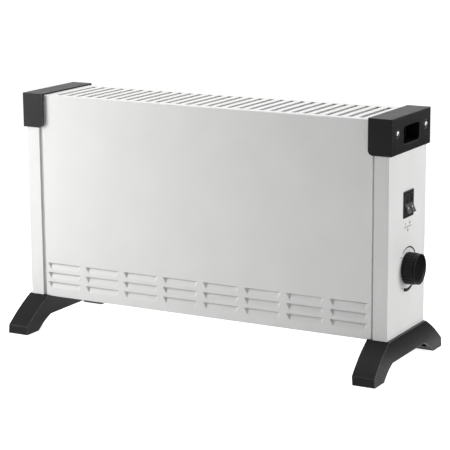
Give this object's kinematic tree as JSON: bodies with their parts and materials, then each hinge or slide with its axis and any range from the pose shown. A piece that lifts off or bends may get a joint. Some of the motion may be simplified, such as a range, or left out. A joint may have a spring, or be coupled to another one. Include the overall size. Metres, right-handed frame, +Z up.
{
  "type": "convector heater",
  "caption": "Free-standing electric convector heater: louvred white steel casing with a slotted top, moulded corner grips, arched feet, two rockers and a thermostat knob.",
  "frame": {"origin": "on the floor, in the middle of the outline from the left foot to the knob's face", "axes": "+X along the heater towards the controls, +Y to its rear, +Z up"},
  "size_m": [0.5856, 0.224, 0.3405],
  "materials": {
    "white_enamel": "satin powder coat",
    "black_plastic": "fine moulded grain",
    "black_gloss_plastic": "polished moulding",
    "zinc_steel": "zinc plated",
    "galvanised_sheet": "plain galvanised",
    "mica": "pressed mica board",
    "resistance_wire": "drawn",
    "beige_plastic": "moulded"
  },
  "bodies": {
    "heater": {"casing_sheet": "white_enamel", "rear_panel": "white_enamel", "left_side_panel": "white_enamel", "right_side_panel": "white_enamel", "bottom_grille": "white_enamel", "left_handle": "black_plastic", "right_handle": "black_plastic", "left_foot": "black_plastic", "right_foot": "black_plastic", "handle_screws": "zinc_steel", "rear_screws": "zinc_steel", "foot_screws": "zinc_steel", "switch_housing": "black_plastic", "thermostat_body": "beige_plastic", "thermostat_nut": "zinc_steel", "element_bracket_left": "galvanised_sheet", "element_bracket_right": "galvanised_sheet", "element_board_front": "mica", "element_board_rear": "mica", "heating_wire_front": "resistance_wire", "heating_wire_rear": "resistance_wire", "control_partition": "galvanised_sheet", "thermal_cutout": "zinc_steel", "cord_gland": "black_plastic", "gland_nut": "black_plastic", "terminal_block": "beige_plastic"},
    "rocker_front": {"rocker_front": "black_gloss_plastic"},
    "rocker_rear": {"rocker_rear": "black_gloss_plastic"},
    "knob": {"thermostat_knob": "black_plastic", "thermostat_shaft": "zinc_steel"}
  },
  "joints": [
    {"name": "front_rocker_tilt", "type": "hinge", "parent": "heater", "child": "rocker_front", "pos_m": [0.27425, -0.00515, 0.2205], "axis": [0, 1, 0], "range_deg": [0, 24]},
    {"name": "rear_rocker_tilt", "type": "hinge", "parent": "heater", "child": "rocker_rear", "pos_m": [0.27425, 0.00815, 0.2205], "axis": [0, 1, 0], "range_deg": [0, 24]},
    {"name": "knob_turn", "type": "hinge", "parent": "heater", "child": "knob", "pos_m": [0.28375, 0.0015, 0.134], "axis": [1, 0, 0], "range_deg": [-270, 0]}
  ]
}
